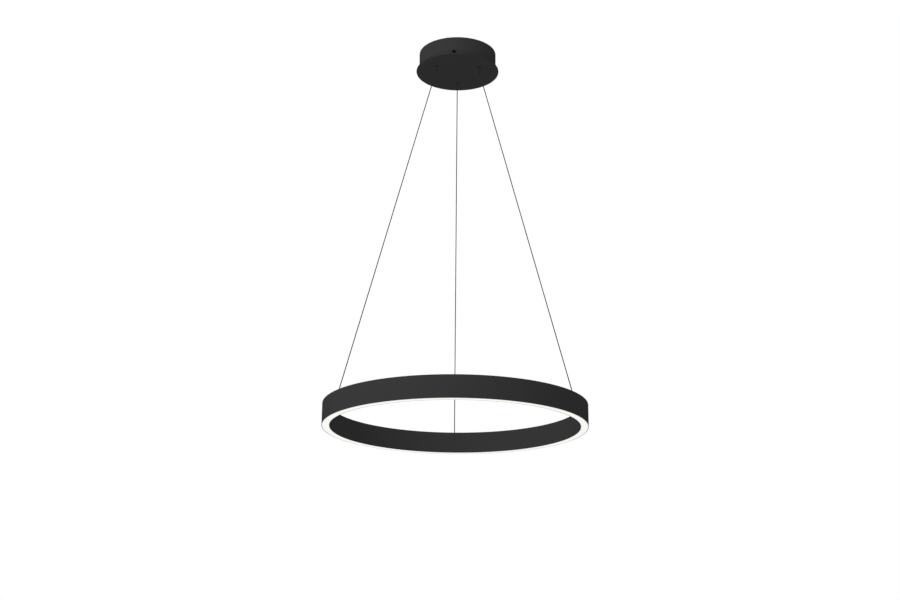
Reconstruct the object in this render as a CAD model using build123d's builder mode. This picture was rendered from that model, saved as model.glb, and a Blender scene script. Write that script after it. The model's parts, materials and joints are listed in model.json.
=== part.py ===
"""Ring pendant light: a slim LED ring hung on three wires from a round ceiling canopy.

The origin is the centre of the canopy's ceiling face, +Z is up and the ring hangs below.
The wires leave the canopy through self-locking grippers, which set the hanging height,
and two of them carry the low-voltage current down to the ring.
All sizes are in millimetres.
"""

import os
from math import atan2, cos, radians, sin, sqrt, tan

from build123d import *

os.makedirs("parts", exist_ok=True)

# Driving sizes of the whole lamp
drop = 932.0  # ceiling to the underside of the ring
wire_diameter = 2.3  # across the corners of the seven-strand wire
wire_circle_radius = 59.5  # where the wires leave the canopy
wire_angles = {"back": 90.0, "left": 210.0, "right": 330.0}

# Clearances
seat_clearance = 0.3  # between assembled pieces that slip together
thread_clearance = 0.1  # between a screw and its hole
slide_clearance = 0.2  # around pieces that move
wire_clearance = 0.15  # around a wire in its bush and ferrule
glue_gap = 0.2  # behind the glued LED strip

# Canopy can and its closing plate
can_diameter = 186.0
can_height = 45.0
can_wall = 1.2
plate_overhang = 7.0  # beyond the can all round
plate_thickness = 2.0

# Ceiling fixing slots and mains entry
slot_spacing = 120.0
slot_width = 5.2
slot_length = 16.0
entry_bore = 16.0
grommet_wall = 1.5
grommet_flange = 26.0  # across its square flange
grommet_flange_thickness = 1.5

# Side screws that hold the plate in the can
side_screw_count = 3
side_screw_angle = 264.5
side_screw_height = 6.5  # axis above the plate's top
side_screw_diameter = 5.0
side_screw_length = 8.0  # below its head
side_screw_head = 9.5  # its diameter
side_screw_head_height = 2.75
side_screw_socket = 3.0  # across flats
side_screw_socket_depth = 2.0
boss_width = 12.0
boss_depth = 6.0
boss_rise = 6.0  # above the screw axis

# Driver, which turns the mains into low voltage
driver_length = 70.0
driver_depth = 28.0
driver_wall = 1.5
driver_headroom = 3.0  # above its output contacts
driver_lip_height = 2.0
standoff_height = 3.0
standoff_size = 4.0
board_thickness = 1.6
transformer_length = 20.0
transformer_width = 17.0
transformer_height = 12.0
capacitor_length = 9.0
capacitor_width = 17.0
capacitor_height = 14.0
component_margin = 9.0  # transformer and capacitor from the ends of the board

# Output contacts, from the driver's board to the tails of two wires
contact_lift = 4.0  # middle above the gripper's cap
contact_height = 4.0
contact_thickness = 0.5
contact_overrun = 3.0  # beyond the wire
contact_entry = 6.0  # inside the driver's wall

# Terminal block for the mains leads, and its lead to the driver
terminal_length = 30.0
terminal_depth = 16.0
terminal_height = 14.0
terminal_distance = 30.0  # its middle behind the canopy's axis
port_count = 3
port_pitch = 9.0
port_size = 5.0
port_depth = 10.0
supply_width = 7.0
supply_thickness = 3.0
supply_height = 8.0  # axis above the plate's top
supply_entry = 3.0

# Feet of the driver and the terminal block, and the plate's tabs over them
foot_length = 14.0
foot_depth = 4.0
foot_thickness = 1.5
tab_wall = 1.2
tab_lip = 2.5

# Cable grippers
nose_flats = 8.0
nose_tail = 2.0  # below the plate
gripper_flats = 14.0
gripper_height = 20.0
cap_thickness = 2.0
cap_spigot = 1.5
plunger_wall = 1.3
plunger_bore_clearance = 0.25  # around the wire
plunger_button_length = 4.0  # below the nose at rest
plunger_seat_height = 4.0  # above the plate's top
plunger_head_step = 0.5
plunger_head_height = 2.0
taper_angle = 10.0
taper_height = 9.0
jaw_height = 5.0
jaw_gap = 0.1  # to the wire and the tapered channel
spring_wall = 1.2
wire_tail = 8.0  # above the gripper's cap

# Ring
ring_diameter = 600.0
ring_width = 18.0
ring_height = 50.0
housing_wall = 1.5
housing_web = 2.0
housing_lip = 0.8  # wall beside the diffuser
diffuser_thickness = 4.0
strip_margin = 1.5  # its upper edge above the links
strip_width = 8.0
strip_thickness = 0.5
chips_per_span = 16  # from one wire to the next
chip_length = 3.5
chip_width = 2.8
chip_thickness = 0.8

# Wire ends in the ring
bush_wall = 1.0
bush_flange = 9.0
bush_flange_thickness = 1.0
ferrule_flats = 5.0
ferrule_length = 8.0
wire_end_recess = 1.0
link_width = 2.0
link_thickness = 0.5

# Wire bends, at the mouth of a gripper and above a bush
bend_room = 4.0  # from the mouth to the corner of the route
bend_reach = 2.5  # from that corner to where the arc starts

# Levels and radii that follow from these sizes
can_radius = can_diameter / 2
can_bore = can_radius - can_wall
can_roof = -can_wall
plate_top = -can_height
plate_underside = plate_top - plate_thickness
plate_radius = can_radius + plate_overhang
ring_underside = -drop
ring_top = ring_underside + ring_height
ring_radius = ring_diameter / 2
ring_middle = ring_radius - ring_width / 2
channel_width = ring_width - 2 * housing_wall
mouth_width = ring_width - 2 * housing_lip
wire_radius = wire_diameter / 2
wire_count = len(wire_angles)
first_wire_angle = wire_angles["back"]


def upright_plane(x, y, level, angle):
    """A vertical plane through a point: its x runs out along angle, its y is up."""
    a = radians(angle)
    return Plane(origin=(x, y, level), x_dir=(cos(a), sin(a), 0), z_dir=(sin(a), -cos(a), 0))


def outward_plane(radius, angle, level):
    """A plane that faces outwards along angle, at that radius."""
    a = radians(angle)
    return Plane(
        origin=(radius * cos(a), radius * sin(a), level),
        x_dir=(-sin(a), cos(a), 0),
        z_dir=(cos(a), sin(a), 0),
    )


def write(piece, node):
    """Label a finished piece and write it as the node of that name."""
    piece.part.label = node
    export_step(piece.part, f"parts/{node}.step")


# Canopy can: a cup with its closed end on the ceiling
entry_hole_radius = entry_bore / 2 + grommet_wall + seat_clearance
side_screw_level = plate_top + side_screw_height
side_screw_radius = side_screw_diameter / 2
side_screw_step = 360 / side_screw_count
side_screw_angles = [side_screw_angle + i * side_screw_step for i in range(side_screw_count)]

with BuildPart() as canopy_can:
    with BuildSketch(Plane.XY):
        Circle(can_radius)
    extrude(amount=-can_height)
    with BuildSketch(Plane.XY.offset(can_roof)):
        Circle(can_bore)
    extrude(amount=-(can_height - can_wall), mode=Mode.SUBTRACT)
    with BuildSketch(Plane.XY):
        Circle(entry_hole_radius)
        with GridLocations(slot_spacing, 0, 2, 1):
            SlotOverall(slot_length, slot_width)
    extrude(amount=-can_wall, mode=Mode.SUBTRACT)
    for angle in side_screw_angles:
        with BuildSketch(outward_plane(can_radius, angle, side_screw_level)):
            Circle(side_screw_radius + seat_clearance)
        extrude(amount=-2 * can_wall, mode=Mode.SUBTRACT)
write(canopy_can, "canopy_can")

# Canopy plate: a disc with a boss for each side screw, and tabs that hold the inner pieces down
gripper_x = wire_circle_radius * cos(radians(wire_angles["right"]))
gripper_y = wire_circle_radius * sin(radians(wire_angles["right"]))
driver_front = gripper_y + driver_depth / 2
driver_back = gripper_y - driver_depth / 2
terminal_front = terminal_distance - terminal_depth / 2
boss_outer = sqrt((can_bore - seat_clearance) ** 2 - (boss_width / 2) ** 2)
foot_ends = [
    (0, driver_front + foot_depth, 90),
    (0, driver_back - foot_depth, -90),
    (terminal_length / 2 + foot_depth, terminal_distance, 0),
    (-terminal_length / 2 - foot_depth, terminal_distance, 180),
]
tab_top = foot_thickness + tab_wall

with BuildPart() as canopy_plate:
    with BuildSketch(Plane.XY.offset(plate_underside)):
        Circle(plate_radius)
        with PolarLocations(wire_circle_radius, wire_count, first_wire_angle):
            RegularPolygon(nose_flats / 2 + slide_clearance, 6, major_radius=False, mode=Mode.SUBTRACT)
    extrude(amount=plate_thickness)
    with BuildSketch(Plane.XY.offset(plate_top)):
        with PolarLocations(boss_outer - boss_depth / 2, side_screw_count, side_screw_angle):
            Rectangle(boss_depth, boss_width)
    extrude(amount=side_screw_height + boss_rise)
    for angle in side_screw_angles:
        with BuildSketch(outward_plane(boss_outer, angle, side_screw_level)):
            Circle(side_screw_radius + thread_clearance)
        extrude(amount=-boss_depth, mode=Mode.SUBTRACT)
    for x, y, angle in foot_ends:
        with BuildSketch(upright_plane(x, y, plate_top, angle)):
            with BuildLine():
                Polyline(
                    (slide_clearance, 0),
                    (slide_clearance + tab_wall, 0),
                    (slide_clearance + tab_wall, tab_top),
                    (-tab_lip, tab_top),
                    (-tab_lip, foot_thickness),
                    (slide_clearance, foot_thickness),
                    close=True,
                )
            make_face()
        extrude(amount=foot_length / 2, both=True)
write(canopy_plate, "canopy_plate")

# Side screws: button heads with a hexagon socket, seated on the can's wall
with BuildPart() as side_screws:
    for angle in side_screw_angles:
        screw_seat = outward_plane(can_radius, angle, side_screw_level)
        with BuildSketch(screw_seat):
            Circle(side_screw_radius)
        extrude(amount=-side_screw_length)
        with BuildSketch(screw_seat):
            Circle(side_screw_head / 2)
        extrude(amount=side_screw_head_height)
        with BuildSketch(screw_seat.offset(side_screw_head_height)):
            RegularPolygon(side_screw_socket / 2, 6, major_radius=False)
        extrude(amount=-side_screw_socket_depth, mode=Mode.SUBTRACT)
write(side_screws, "side_screws")

# Entry grommet: lines the mains entry, flush with the ceiling face
with BuildPart() as entry_grommet:
    with BuildSketch(Plane.XY):
        Circle(entry_bore / 2 + grommet_wall)
    extrude(amount=-can_wall)
    with BuildSketch(Plane.XY.offset(can_roof)):
        Rectangle(grommet_flange, grommet_flange)
    extrude(amount=-grommet_flange_thickness)
    with BuildSketch(Plane.XY):
        Circle(entry_bore / 2)
    extrude(amount=-(can_wall + grommet_flange_thickness), mode=Mode.SUBTRACT)
write(entry_grommet, "entry_grommet")

# Heights of the gripper's own features, above the plate's top
nose_end = -(plate_thickness + nose_tail)
cap_top = gripper_height + cap_thickness
spigot_end = gripper_height - cap_spigot
plunger_end = nose_end - plunger_button_length
head_top = plunger_seat_height + plunger_head_height
jaw_top = head_top + jaw_height
taper_top = plunger_seat_height + taper_height

# Half widths of the gripper's own features, from the wire outwards
plunger_bore_radius = wire_radius + plunger_bore_clearance
plunger_radius = plunger_bore_radius + plunger_wall
nose_bore_radius = plunger_radius + slide_clearance
head_half = plunger_radius + plunger_head_step
channel_half = head_half + slide_clearance
taper_slope = tan(radians(taper_angle))
channel_half_top = channel_half + taper_height * taper_slope
jaw_inner = wire_radius + jaw_gap
jaw_outer = channel_half + plunger_head_height * taper_slope - jaw_gap / cos(radians(taper_angle))
jaw_outer_top = jaw_outer + jaw_height * taper_slope

# Levels that the driver, its contacts and its lead share
contact_level = plate_top + cap_top + contact_lift
contact_side = gripper_y + wire_radius + jaw_gap
driver_top = contact_level + contact_height / 2 + driver_headroom
driver_rim = driver_top - driver_wall
driver_floor = plate_top + driver_wall
board_level = driver_floor + standoff_height
component_level = board_level + board_thickness
supply_level = plate_top + supply_height

# Driver case: a tray with a slot for the supply lead, one for each contact, and two feet
inner_length = driver_length - 2 * driver_wall
inner_depth = driver_depth - 2 * driver_wall
board_length = inner_length - 2 * seat_clearance
board_depth = inner_depth - 2 * seat_clearance

with BuildPart() as driver_case:
    with BuildSketch(Plane.XY.offset(plate_top)):
        with Locations((0, gripper_y)):
            Rectangle(driver_length, driver_depth)
    extrude(amount=driver_rim - plate_top)
    with BuildSketch(Plane.XY.offset(driver_floor)):
        with Locations((0, gripper_y)):
            Rectangle(inner_length, inner_depth)
    extrude(amount=driver_rim - driver_floor, mode=Mode.SUBTRACT)
    with BuildSketch(Plane.XY.offset(driver_floor)):
        with Locations((0, gripper_y)):
            with GridLocations(board_length - standoff_size, board_depth - standoff_size, 2, 2):
                Rectangle(standoff_size, standoff_size)
    extrude(amount=standoff_height)
    with BuildSketch(Plane.XY.offset(plate_top)):
        with Locations((0, driver_front), (0, driver_back)):
            Rectangle(foot_length, 2 * foot_depth)
        with Locations((0, gripper_y)):
            Rectangle(driver_length, driver_depth, mode=Mode.SUBTRACT)
    extrude(amount=foot_thickness)
    with BuildSketch(Plane.XZ.offset(-driver_front)):
        with Locations((0, supply_level)):
            Rectangle(supply_width + 2 * seat_clearance, supply_thickness + 2 * seat_clearance)
    extrude(amount=driver_wall, mode=Mode.SUBTRACT)
    with BuildSketch(Plane.YZ.offset(-driver_length / 2)):
        with Locations((contact_side + contact_thickness / 2, contact_level)):
            Rectangle(contact_thickness + 2 * seat_clearance, contact_height + 2 * seat_clearance)
    extrude(amount=driver_length, mode=Mode.SUBTRACT)
write(driver_case, "driver_case")

# Driver cover: a lid with a lip that drops inside the tray
with BuildPart() as driver_cover:
    with BuildSketch(Plane.XY.offset(driver_rim)):
        with Locations((0, gripper_y)):
            Rectangle(driver_length, driver_depth)
    extrude(amount=driver_wall)
    with BuildSketch(Plane.XY.offset(driver_rim)):
        with Locations((0, gripper_y)):
            Rectangle(board_length, board_depth)
            Rectangle(
                board_length - 2 * driver_wall,
                board_depth - 2 * driver_wall,
                mode=Mode.SUBTRACT,
            )
    extrude(amount=-min(driver_lip_height, driver_headroom - driver_wall - seat_clearance))
write(driver_cover, "driver_cover")

# Driver board, with its transformer and capacitor
with BuildPart() as driver_board:
    with BuildSketch(Plane.XY.offset(board_level)):
        with Locations((0, gripper_y)):
            Rectangle(board_length, board_depth)
    extrude(amount=board_thickness)
write(driver_board, "driver_board")

with BuildPart() as driver_transformer:
    with BuildSketch(Plane.XY.offset(component_level)):
        with Locations((component_margin + (transformer_length - board_length) / 2, gripper_y)):
            Rectangle(transformer_length, transformer_width)
    extrude(amount=transformer_height)
write(driver_transformer, "driver_transformer")

with BuildPart() as driver_capacitor:
    with BuildSketch(Plane.XY.offset(component_level)):
        with Locations(((board_length - capacitor_length) / 2 - component_margin, gripper_y)):
            Rectangle(capacitor_length, capacitor_width)
    extrude(amount=capacitor_height)
write(driver_capacitor, "driver_capacitor")

# Output contacts: strips that stand on the board and pass beside the left and right wires
contact_end = gripper_x + contact_overrun
contact_leg = driver_length / 2 - driver_wall - contact_entry

with BuildPart() as output_contacts:
    for side in (-1, 1):
        with BuildSketch(Plane.XZ.offset(-contact_side)):
            with BuildLine():
                Polyline(
                    (side * contact_leg, component_level),
                    (side * (contact_leg + contact_height), component_level),
                    (side * (contact_leg + contact_height), contact_level - contact_height / 2),
                    (side * contact_end, contact_level - contact_height / 2),
                    (side * contact_end, contact_level + contact_height / 2),
                    (side * contact_leg, contact_level + contact_height / 2),
                    close=True,
                )
            make_face()
        extrude(amount=-contact_thickness)
write(output_contacts, "output_contacts")

# Terminal block: ports for the mains leads behind, one port for the supply lead in front
with BuildPart() as terminal_block:
    with BuildSketch(Plane.XY.offset(plate_top)):
        with Locations((0, terminal_distance)):
            Rectangle(terminal_length, terminal_depth)
    extrude(amount=terminal_height)
    with BuildSketch(Plane.XY.offset(plate_top)):
        with Locations((0, terminal_distance)):
            Rectangle(terminal_length + 2 * foot_depth, foot_length)
            Rectangle(terminal_length, terminal_depth, mode=Mode.SUBTRACT)
    extrude(amount=foot_thickness)
    with BuildSketch(Plane.XZ.offset(-terminal_front)):
        with Locations((0, supply_level)):
            Rectangle(supply_width + 2 * seat_clearance, supply_thickness + 2 * seat_clearance)
    extrude(amount=-supply_entry, mode=Mode.SUBTRACT)
    with BuildSketch(Plane.XZ.offset(-terminal_front - terminal_depth)):
        with Locations((0, supply_level)):
            with GridLocations(port_pitch, 0, port_count, 1):
                Rectangle(port_size, port_size)
    extrude(amount=port_depth, mode=Mode.SUBTRACT)
write(terminal_block, "terminal_block")

# Supply lead: flat and two-core, from the terminal block to the driver
with BuildPart() as supply_lead:
    with BuildSketch(Plane.XZ.offset(-terminal_front - supply_entry)):
        with Locations((0, supply_level)):
            Rectangle(supply_width, supply_thickness)
    extrude(amount=terminal_front - driver_front + driver_wall + 2 * supply_entry)
write(supply_lead, "supply_lead")

# One self-locking gripper for each wire: a spring pushes two jaws down a tapered channel onto
# the wire, and the plunger's button lifts them off it
for side, angle in wire_angles.items():
    gripper_place = (
        wire_circle_radius * cos(radians(angle)),
        wire_circle_radius * sin(radians(angle)),
    )
    section = upright_plane(*gripper_place, plate_top, angle)
    base = Plane(origin=section.origin, x_dir=section.x_dir, z_dir=(0, 0, 1))

    with BuildPart() as gripper_body:
        with BuildSketch(base):
            RegularPolygon(gripper_flats / 2, 6, major_radius=False)
        extrude(amount=gripper_height)
        with BuildSketch(base):
            RegularPolygon(nose_flats / 2, 6, major_radius=False)
        extrude(amount=nose_end)
        with BuildSketch(base.offset(nose_end)):
            Circle(nose_bore_radius)
        extrude(amount=plunger_seat_height - nose_end, mode=Mode.SUBTRACT)
        with BuildSketch(section):
            with BuildLine():
                Polyline(
                    (-channel_half, plunger_seat_height),
                    (channel_half, plunger_seat_height),
                    (channel_half_top, taper_top),
                    (channel_half_top, gripper_height),
                    (-channel_half_top, gripper_height),
                    (-channel_half_top, taper_top),
                    close=True,
                )
            make_face()
        extrude(amount=channel_half, both=True, mode=Mode.SUBTRACT)
    write(gripper_body, f"gripper_body_{side}")

    with BuildPart() as gripper_cap:
        with BuildSketch(base.offset(gripper_height)):
            RegularPolygon(gripper_flats / 2, 6, major_radius=False)
        extrude(amount=cap_thickness)
        with BuildSketch(base.offset(gripper_height)):
            Rectangle(2 * (channel_half_top - slide_clearance), 2 * (channel_half - slide_clearance))
        extrude(amount=-cap_spigot)
        with BuildSketch(base.offset(spigot_end)):
            Circle(plunger_bore_radius)
        extrude(amount=cap_top - spigot_end, mode=Mode.SUBTRACT)
    write(gripper_cap, f"gripper_cap_{side}")

    with BuildPart() as release_plunger:
        with BuildSketch(base.offset(plunger_end)):
            Circle(plunger_radius)
        extrude(amount=plunger_seat_height - plunger_end)
        with BuildSketch(base.offset(plunger_seat_height)):
            Rectangle(2 * head_half, 2 * head_half)
        extrude(amount=plunger_head_height)
        with BuildSketch(base.offset(plunger_end)):
            Circle(plunger_bore_radius)
        extrude(amount=head_top - plunger_end, mode=Mode.SUBTRACT)
    write(release_plunger, f"release_plunger_{side}")

    with BuildPart() as gripper_jaws:
        with BuildSketch(section):
            for way in (-1, 1):
                with BuildLine():
                    Polyline(
                        (way * jaw_inner, head_top),
                        (way * jaw_outer, head_top),
                        (way * jaw_outer_top, jaw_top),
                        (way * jaw_inner, jaw_top),
                        close=True,
                    )
                make_face()
        extrude(amount=head_half, both=True)
    write(gripper_jaws, f"gripper_jaws_{side}")

    with BuildPart() as gripper_spring:
        with BuildSketch(base.offset(jaw_top)):
            Rectangle(2 * head_half, 2 * head_half)
            Rectangle(2 * (head_half - spring_wall), 2 * (head_half - spring_wall), mode=Mode.SUBTRACT)
        extrude(amount=spigot_end - jaw_top)
    write(gripper_spring, f"gripper_spring_{side}")

# Ring housing: a bent aluminium channel, open below, whose walls step back to thin lips
diffuser_top = ring_underside + diffuser_thickness
web_underside = ring_top - housing_web
bush_bore_radius = wire_radius + wire_clearance
bush_radius = bush_bore_radius + bush_wall


def section_block(width, bottom, top, mode=Mode.ADD):
    """A rectangle of the ring's section, centred on the ring's middle line."""
    with Locations((ring_middle, (bottom + top) / 2)):
        Rectangle(width, top - bottom, mode=mode)


with BuildPart() as ring_housing:
    with BuildSketch(Plane.XZ):
        section_block(ring_width, ring_underside, ring_top)
        section_block(channel_width, diffuser_top, web_underside, Mode.SUBTRACT)
        section_block(mouth_width, ring_underside, diffuser_top, Mode.SUBTRACT)
    revolve(axis=Axis.Z)
    with BuildSketch(Plane.XY.offset(ring_top)):
        with PolarLocations(ring_middle, wire_count, first_wire_angle):
            RegularPolygon(bush_radius + slide_clearance, 6, major_radius=False)
    extrude(amount=-housing_web, mode=Mode.SUBTRACT)
write(ring_housing, "ring_housing")

# Ring diffuser: pushed in flush between the lips, against the steps in the walls
with BuildPart() as ring_diffuser:
    with BuildSketch(Plane.XZ):
        section_block(mouth_width - 2 * seat_clearance, ring_underside, diffuser_top)
    revolve(axis=Axis.Z)
write(ring_diffuser, "ring_diffuser")

# Wire bushes and crimped ferrules, which hold the ring up on the wires' ends
ferrule_top = web_underside - bush_flange_thickness
ferrule_end = ferrule_top - ferrule_length

with BuildPart() as wire_bushes:
    with BuildSketch(Plane.XY.offset(ring_top)):
        with PolarLocations(ring_middle, wire_count, first_wire_angle):
            RegularPolygon(bush_radius, 6, major_radius=False)
    extrude(amount=-housing_web)
    with BuildSketch(Plane.XY.offset(web_underside)):
        with PolarLocations(ring_middle, wire_count, first_wire_angle):
            Rectangle(bush_flange, bush_flange)
    extrude(amount=-bush_flange_thickness)
    with BuildSketch(Plane.XY.offset(ring_top)):
        with PolarLocations(ring_middle, wire_count, first_wire_angle):
            Circle(bush_bore_radius)
    extrude(amount=ferrule_top - ring_top, mode=Mode.SUBTRACT)
write(wire_bushes, "wire_bushes")

with BuildPart() as wire_ferrules:
    with BuildSketch(Plane.XY.offset(ferrule_top)):
        with PolarLocations(ring_middle, wire_count, first_wire_angle):
            RegularPolygon(ferrule_flats / 2, 6, major_radius=False, rotation=30)
            RegularPolygon(
                bush_bore_radius,
                6,
                major_radius=False,
                rotation=30,
                mode=Mode.SUBTRACT,
            )
    extrude(amount=-ferrule_length)
write(wire_ferrules, "wire_ferrules")

# LED strip: a tape stuck round the inside of the outer wall, folded at its cutting marks so
# that each chip has a flat behind it and faces inwards
chip_count = wire_count * chips_per_span
fold_half_angle = 180 / chip_count
strip_radius = (ring_radius - housing_wall - glue_gap) * cos(radians(fold_half_angle))
strip_face = strip_radius - strip_thickness
strip_top = ferrule_end + link_thickness + strip_margin
fold_angle = first_wire_angle + fold_half_angle
chip_level = strip_top - strip_width / 2

with BuildPart() as led_strip:
    with BuildSketch(Plane.XY.offset(strip_top)):
        RegularPolygon(strip_radius, chip_count, major_radius=False, rotation=fold_angle)
        RegularPolygon(
            strip_face,
            chip_count,
            major_radius=False,
            rotation=fold_angle,
            mode=Mode.SUBTRACT,
        )
    extrude(amount=-strip_width)
write(led_strip, "led_strip")

with BuildPart() as led_chips:
    with BuildSketch(Plane.XY.offset(chip_level - chip_width / 2)):
        with PolarLocations(strip_face - chip_thickness / 2, chip_count, first_wire_angle):
            Rectangle(chip_thickness, chip_length)
    extrude(amount=chip_width)
write(led_chips, "led_chips")

# Strip links: from the left and right ferrules out to the LED strip
link_start = ring_middle + ferrule_flats / 2
link_length = strip_face - link_start

with BuildPart() as strip_links:
    for side in ("left", "right"):
        with BuildSketch(Plane.XY.offset(ferrule_end)):
            with PolarLocations(link_start + link_length / 2, 1, wire_angles[side]):
                Rectangle(link_length, link_width)
        extrude(amount=link_thickness)
write(strip_links, "strip_links")

# Suspension wires: seven strands that make a hexagon, pulled straight from gripper to bush
tail_top = plate_top + cap_top + wire_tail
upper_corner = plate_top + plunger_end - bend_room
lower_corner = ring_top + bend_room
wire_end = ferrule_end + wire_end_recess
wire_turn = atan2(ring_middle - wire_circle_radius, upper_corner - lower_corner)
bend_radius = bend_reach / tan(wire_turn / 2)

for side, angle in wire_angles.items():
    with BuildPart() as suspension_wire:
        with BuildLine(upright_plane(0, 0, 0, angle)) as wire_route:
            FilletPolyline(
                (wire_circle_radius, tail_top),
                (wire_circle_radius, upper_corner),
                (ring_middle, lower_corner),
                (ring_middle, wire_end),
                radius=bend_radius,
            )
        route = wire_route.wire()
        with BuildSketch(Plane(origin=route @ 0, z_dir=route % 0)) as wire_section:
            RegularPolygon(wire_radius, 6)
        sweep(path=route)
    write(suspension_wire, f"suspension_wire_{side}")
    print(
        f"suspension_wire_{side}: bend radii {bend_radius:.1f} mm, length {route.length:.1f} mm,",
        f"volume {suspension_wire.part.volume:.1f} mm3,",
        f"section times length {wire_section.sketch.area * route.length:.1f} mm3",
    )
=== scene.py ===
"""Looks of a ring pendant light, laid out as an add-on and built around its CAD frame.

Finer meshes stand for the pieces that show and for the springs. Every other node of the frame
keeps its own mesh and gets a finish and soft edges. Lengths are in metres, in the frame of the
part: the origin is the centre of the canopy's ceiling face, +Z is up and the ring hangs below.
"""

import json
from math import acos, atan2, cos, hypot, pi, radians, sin, sqrt, tan, tau
from typing import NamedTuple

import bmesh
import bpy
from bpy.props import FloatProperty, FloatVectorProperty, IntProperty, PointerProperty
from mathutils import Matrix, Vector


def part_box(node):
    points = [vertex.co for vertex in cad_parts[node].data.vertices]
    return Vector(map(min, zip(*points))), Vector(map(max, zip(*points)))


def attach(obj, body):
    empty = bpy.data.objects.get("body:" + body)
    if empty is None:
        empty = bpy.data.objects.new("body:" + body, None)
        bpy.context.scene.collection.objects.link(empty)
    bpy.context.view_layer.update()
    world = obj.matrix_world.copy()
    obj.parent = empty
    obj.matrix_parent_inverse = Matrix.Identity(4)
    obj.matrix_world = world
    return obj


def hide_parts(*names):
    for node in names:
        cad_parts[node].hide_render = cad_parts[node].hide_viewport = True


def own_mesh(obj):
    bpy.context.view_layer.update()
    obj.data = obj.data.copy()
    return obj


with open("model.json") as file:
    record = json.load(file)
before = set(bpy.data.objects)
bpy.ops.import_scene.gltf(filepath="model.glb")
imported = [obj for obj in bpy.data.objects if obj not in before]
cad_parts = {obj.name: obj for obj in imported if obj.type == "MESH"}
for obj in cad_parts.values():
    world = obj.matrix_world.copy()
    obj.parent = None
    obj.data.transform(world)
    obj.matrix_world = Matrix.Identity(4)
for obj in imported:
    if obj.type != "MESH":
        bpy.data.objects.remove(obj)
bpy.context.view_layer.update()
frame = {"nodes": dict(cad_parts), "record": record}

bl_info = {
    "name": "Ring Pendant Light",
    "version": (1, 0, 0),
    "blender": (4, 5, 0),
    "location": "View3D > Sidebar > Pendant",
    "description": "Builds the finished look of a ring pendant light around its frame",
    "category": "Object",
}

SIDES = ("back", "left", "right")


def radial_span(node):
    """Least and greatest distance of a node's corners from the lamp's axis."""
    distances = [hypot(v.co.x, v.co.y) for v in frame["nodes"][node].data.vertices]
    return min(distances), max(distances)


def levels(node):
    """Lowest and highest level of a node."""
    low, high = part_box(node)
    return low.z, high.z


def middle(node):
    """The middle of a node's box."""
    low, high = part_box(node)
    return (low + high) / 2


def ceiling_place(node):
    """The point of the ceiling above the middle of a node's box."""
    place = middle(node)
    place.z = 0
    return place


def gripper_angle(side):
    """The angle of a gripper, its wire and its bush about the lamp's axis."""
    place = ceiling_place(f"release_plunger_{side}")
    return atan2(place.y, place.x)


# Sizes read from the frame
RING_BORE, RING_RADIUS = radial_span("ring_housing")
RING_MIDDLE = (RING_BORE + RING_RADIUS) / 2
RING_LOW, RING_TOP = levels("ring_housing")
LENS_BORE, LENS_RADIUS = radial_span("ring_diffuser")
LENS_TOP = levels("ring_diffuser")[1]
CAN_RADIUS = radial_span("canopy_can")[1]
CAN_LOW, CAN_TOP = levels("canopy_can")
PLATE_RADIUS = radial_span("canopy_plate")[1]
PLATE_LOW, BOSS_TOP = levels("canopy_plate")
PLATE_TOP = CAN_LOW
PLUNGER_LOW, PLUNGER_TOP = levels("release_plunger_back")
NOSE_LOW = levels("gripper_body_back")[0]
SCREW_LEVEL = middle("side_screws").z
WIRE_CIRCLE = hypot(*middle("release_plunger_back").xy)
WIRE_END = levels("suspension_wire_back")[0]

# Sizes of the ring and the canopy that the frame's boxes don't give
HOUSING_WALL = 0.0015
HOUSING_LIP = 0.0008
HOUSING_WEB = 0.002
BUSH_HOLE_FLATS = 0.005
SEAT_CLEARANCE = 0.0003
CAN_WALL = 0.0012
ENTRY_HOLE = 0.0098
SLOT_SPACING = 0.120
SLOT_WIDTH = 0.0052
SLOT_LENGTH = 0.016
CAN_SCREW_HOLE = 0.0028
BOSS_SCREW_HOLE = 0.0026
BOSS_WIDTH = 0.012
BOSS_DEPTH = 0.006
TAB_LENGTH = 0.014
TAB_WALL = 0.0012
TAB_LIP = 0.0025
TAB_GAP = 0.0002
FOOT_THICKNESS = 0.0015
NOSE_HOLE_FLATS = 0.0084

# Sizes of the screws, the plungers and the wires
SCREW_ANGLES = [radians(264.5 + 120 * turn) for turn in range(3)]
SCREW_RADIUS = 0.0025
SCREW_LENGTH = 0.008
SCREW_HEAD_RADIUS = 0.00475
SCREW_HEAD_HEIGHT = 0.00275
SCREW_SOCKET_FLATS = 0.003
SCREW_SOCKET_DEPTH = 0.002
PLUNGER_BORE = 0.0014
PLUNGER_RADIUS = 0.0027
PLUNGER_HEAD = 0.0064
PLUNGER_HEAD_HEIGHT = 0.002
WIRE_DIAMETER = 0.0023

# Steps and angles that the meshes share
ARC_STEPS = 4
HOLE_STEPS = 36
SLOT_STEPS = 13  # round each end of a slot, odd so that no corner meets an edge of the can's top
SHARP = radians(35)  # an edge that turns by more stays sharp
SAME_CORNER = 1e-6  # corners that lie nearer are one
SAME_FACE = radians(1)  # faces that turn by less are one
SOFT_EDGE = radians(40)  # an edge that turns by more is rounded
SOFT_STEPS = 2

# Detail of the noise in every finish, and the diffuser's glow from bore (0) to rim (1), with
# painted wall shade at both edges
NOISE_DETAIL = 3.0
GLOW_AND_WALL_SHADE_STOPS = ((0.0, 0.9), (0.12, 0.98), (0.5, 1.0), (0.88, 0.98), (1.0, 0.86))


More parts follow.
